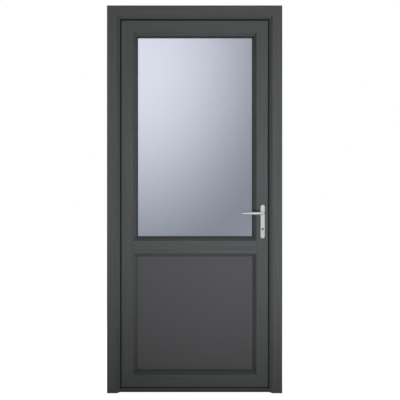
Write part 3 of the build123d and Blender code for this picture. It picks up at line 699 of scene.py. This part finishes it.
class DOOR_OT_finish_bars(bpy.types.Operator):
    """Puts the grained foil on the bars of frame and leaf, and the skin on the panel"""
    bl_idname = "door.finish_bars"
    bl_label = "Foil on the bars"

    def execute(self, context):
        settings = context.scene.door_foil
        dress(UPRIGHT_BARS, foil_finish("upright_foil", settings, Z_AXIS))
        dress(LEVEL_BARS, foil_finish("level_foil", settings, X_AXIS))
        dress(["lower_panel"], panel_finish(settings))
        return {"FINISHED"}


class DOOR_OT_finish_glazing(bpy.types.Operator):
    """Puts the glass finishes on the panes and satin metal on the spacer bar"""
    bl_idname = "door.finish_glazing"
    bl_label = "Glass"

    def execute(self, context):
        settings = context.scene.door_glass
        metal = context.scene.door_metal
        brush = drawn_out(metal.brush_width, metal.brush_length, Z_AXIS)
        spacer = satin_metal_finish("spacer_metal", settings.spacer_tone, settings.spacer_roughness, brush)
        dress(["glass_outer_pane"], obscure_glass_finish(settings))
        dress(["glass_inner_pane"], clear_glass_finish(settings))
        dress(["glass_spacer_bar"], spacer)
        return {"FINISHED"}


class DOOR_OT_finish_seals(bpy.types.Operator):
    """Puts the rubber on the seals and gaskets"""
    bl_idname = "door.finish_seals"
    bl_label = "Rubber on the seals"

    def execute(self, context):
        dress(SEALS, rubber_finish(context.scene.door_seal))
        return {"FINISHED"}


class DOOR_OT_finish_metal(bpy.types.Operator):
    """Puts the metal finishes on handles, lock, hinges and threshold"""
    bl_idname = "door.finish_metal"
    bl_label = "Metal"

    def execute(self, context):
        settings = context.scene.door_metal
        upright = drawn_out(settings.brush_width, settings.brush_length, Z_AXIS)
        inward = drawn_out(settings.brush_width, settings.brush_length, Y_AXIS)
        satin = satin_metal_finish("handle_metal", settings.handle_tone, settings.handle_roughness, upright)
        dress(HANDLE_METAL, satin)
        dress(["key_cylinder"], cylinder_finish(settings, inward))
        dress(LOCK_STEEL, zinc_finish(settings))
        dress([name for name in NODES if name.startswith("hinge_")], hinge_finish(settings))
        dress(["threshold"], threshold_finish(settings))
        return {"FINISHED"}


class DOOR_OT_add_hinge_screws(bpy.types.Operator):
    """Adds the screws of the hinge plates and flags"""
    bl_idname = "door.add_hinge_screws"
    bl_label = "Hinge screws"

    def execute(self, context):
        settings = context.scene.door_screws
        finish = bpy.data.materials["hinge_coat"]
        head = settings.hinge_head
        inset = HINGE_INSET * head
        plate_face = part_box("frame_hinge_jamb")[1][1] + settings.hinge_plate
        for number, hinge in enumerate(HINGES):
            low, high = corners(f"hinge_leaf_flag_{hinge}")
            rows = (low.z + inset, high.z - inset)
            columns = (high.x - inset, high.x - FLAG_SECOND_COLUMN * head)
            places = [facing((x, high.y, z), (0, 1, 0), x + z + number) for x in columns for z in rows]
            add_screws(f"hinge_flag_screws_{hinge}", "leaf", finish, places, head, settings)
            low, high = corners(f"hinge_frame_plate_{hinge}")
            column = low.x + PLATE_COLUMN * head
            rows = (low.z + inset, (low.z + high.z) / 2, high.z - inset)
            places = [facing((column, plate_face, z), (0, 1, 0), 2 * z + number) for z in rows]
            add_screws(f"hinge_plate_screws_{hinge}", "frame", finish, places, head, settings)
        return {"FINISHED"}


class DOOR_OT_add_lock_screws(bpy.types.Operator):
    """Adds the screws of the faceplate and the keeps"""
    bl_idname = "door.add_lock_screws"
    bl_label = "Lock screws"

    def execute(self, context):
        settings = context.scene.door_screws
        zinc = bpy.data.materials["bright_zinc"]
        head = settings.lock_head
        low, high = corners("lock_faceplate")
        rows = [low.z + (high.z - low.z) * step for step in FACEPLATE_SCREWS]
        places = [facing((high.x, (low.y + high.y) / 2, z), (1, 0, 0), z) for z in rows]
        add_screws("faceplate_screws", "leaf", zinc, places, head, settings)
        places = []
        for node, steps in KEEP_SCREWS.items():
            low, high = corners(node)
            rows = [low.z + (high.z - low.z) * step for step in steps]
            places += [facing((low.x, (low.y + high.y) / 2, z), (-1, 0, 0), z) for z in rows]
        add_screws("keep_screws", "frame", zinc, places, head, settings)
        return {"FINISHED"}


class DOOR_OT_add_handle_screws(bpy.types.Operator):
    """Adds the screws of the inside handle"""
    bl_idname = "door.add_handle_screws"
    bl_label = "Handle screws"

    def execute(self, context):
        settings = context.scene.door_screws
        satin = bpy.data.materials["handle_metal"]
        head = settings.handle_head
        inset = HANDLE_INSET * head
        low, high = corners("inside_backplate")
        rows = (low.z + inset, high.z - inset)
        places = [facing(((low.x + high.x) / 2, high.y, z), (0, 1, 0), 3 * z) for z in rows]
        add_screws("inside_handle_screws", "leaf", satin, places, head, settings)
        return {"FINISHED"}


class DOOR_OT_add_threshold_screws(bpy.types.Operator):
    """Adds the screws along the tread of the threshold"""
    bl_idname = "door.add_threshold_screws"
    bl_label = "Threshold screws"

    def execute(self, context):
        settings = context.scene.door_screws
        zinc = bpy.data.materials["bright_zinc"]
        low, high = corners("threshold")
        gap = (high.x - low.x) / settings.threshold_screws
        columns = [low.x + gap * (i + 0.5) for i in range(settings.threshold_screws)]
        places = [facing((x, (low.y + high.y) / 2, high.z), (0, 0, 1), 5 * x) for x in columns]
        add_screws("threshold_screws", "frame", zinc, places, settings.lock_head, settings)
        return {"FINISHED"}


class DOOR_OT_set_stage(bpy.types.Operator):
    """Sets floor, room, lamps and camera for the picture"""
    bl_idname = "door.set_stage"
    bl_label = "Stage"

    def execute(self, context):
        settings = context.scene.door_stage
        add_floor(settings)
        add_glow(settings)
        add_room(context.scene, settings)
        add_lamp("front_lamp", settings.front_place, settings.front_target,
                 settings.front_power, settings.front_angle, settings.lamp_radius)
        add_lamp("back_lamp", settings.back_place, settings.back_target,
                 settings.back_power, settings.back_angle, settings.lamp_radius)
        add_camera(context.scene, settings)
        context.scene.view_settings.view_transform = "Standard"
        return {"FINISHED"}


class DOOR_PT_sidebar(bpy.types.Panel):
    """Lists the steps that dress the door"""
    bl_label = "Door"
    bl_idname = "DOOR_PT_sidebar"
    bl_space_type = "VIEW_3D"
    bl_region_type = "UI"
    bl_category = "Door"

    def draw(self, context):
        for step in OPERATORS:
            self.layout.operator(step.bl_idname)


SETTINGS = {
    "door_foil": DoorFoilSettings,
    "door_glass": DoorGlassSettings,
    "door_metal": DoorMetalSettings,
    "door_seal": DoorSealSettings,
    "door_screws": DoorScrewSettings,
    "door_stage": DoorStageSettings,
}
OPERATORS = (
    DOOR_OT_finish_bars,
    DOOR_OT_finish_glazing,
    DOOR_OT_finish_seals,
    DOOR_OT_finish_metal,
    DOOR_OT_add_hinge_screws,
    DOOR_OT_add_lock_screws,
    DOOR_OT_add_handle_screws,
    DOOR_OT_add_threshold_screws,
    DOOR_OT_set_stage,
)


def register():
    for kind in (*SETTINGS.values(), *OPERATORS, DOOR_PT_sidebar):
        bpy.utils.register_class(kind)
    for name, kind in SETTINGS.items():
        setattr(bpy.types.Scene, name, PointerProperty(type=kind))


def unregister():
    for name in SETTINGS:
        delattr(bpy.types.Scene, name)
    for kind in (DOOR_PT_sidebar, *reversed(OPERATORS), *reversed(SETTINGS.values())):
        bpy.utils.unregister_class(kind)


def main():
    register()
    bpy.ops.door.finish_bars()
    bpy.ops.door.finish_glazing()
    bpy.ops.door.finish_seals()
    bpy.ops.door.finish_metal()
    bpy.ops.door.add_hinge_screws()
    bpy.ops.door.add_lock_screws()
    bpy.ops.door.add_handle_screws()
    bpy.ops.door.add_threshold_screws()
    bpy.ops.door.set_stage()


if __name__ == "__main__":
    main()
